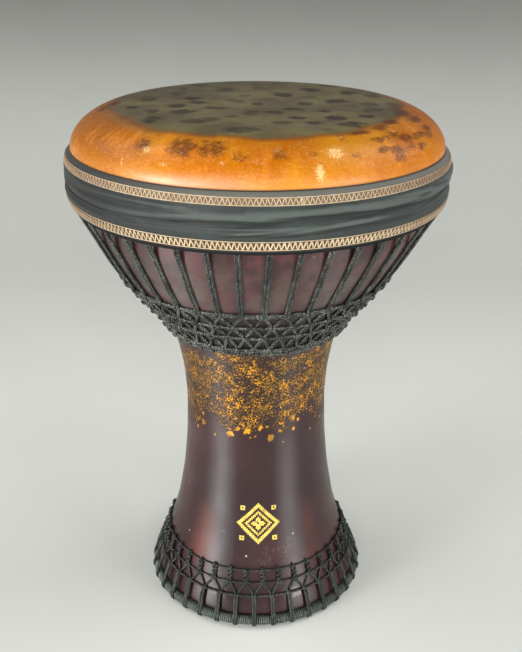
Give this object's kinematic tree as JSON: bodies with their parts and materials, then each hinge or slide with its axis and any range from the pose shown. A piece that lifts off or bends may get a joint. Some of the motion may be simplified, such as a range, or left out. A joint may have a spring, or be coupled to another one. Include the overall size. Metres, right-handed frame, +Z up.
{
  "type": "bass darbuka",
  "caption": "Bass goblet drum: clay body, rope-tensioned skin head, cloth rim band, knotted cord nets on bowl and foot.",
  "frame": {"origin": "centre of the plane that the foot rests on", "axes": "+Z up along the drum's axis, towards the playing surface; -Y is the front; +X is to the right seen from the front"},
  "size_m": [0.3242, 0.3232, 0.4644],
  "materials": {
    "glazed_clay": "dark brown glaze, glossy",
    "drum_hide": "stained hide, satin",
    "hoop_steel": "plain",
    "braided_cord": "braided, matt",
    "ring_rope": "wound cord, matt",
    "band_cloth": "smooth dark cloth, faint sheen",
    "lining_cloth": "matt",
    "stitch_thread": "cream thread"
  },
  "bodies": {
    "root": {"clay_shell": "glazed_clay", "drum_skin": "drum_hide", "flesh_hoop": "hoop_steel", "tension_rope": "braided_cord", "net_round_1": "braided_cord", "net_round_2": "braided_cord", "net_round_3": "braided_cord", "net_cord_1": "braided_cord", "net_cord_2": "braided_cord", "net_cord_3": "braided_cord", "net_cord_4": "braided_cord", "waist_cord_upper": "braided_cord", "waist_cord_lower": "braided_cord", "foot_ring": "ring_rope", "foot_lashing": "braided_cord", "foot_net_round": "braided_cord", "foot_uprights": "braided_cord", "foot_cord_upper": "braided_cord", "foot_cord_middle": "braided_cord", "foot_cord_lower": "braided_cord", "cover_band": "band_cloth", "band_lining": "lining_cloth", "upper_stitching": "stitch_thread", "lower_stitching": "stitch_thread"}
  },
  "joints": []
}
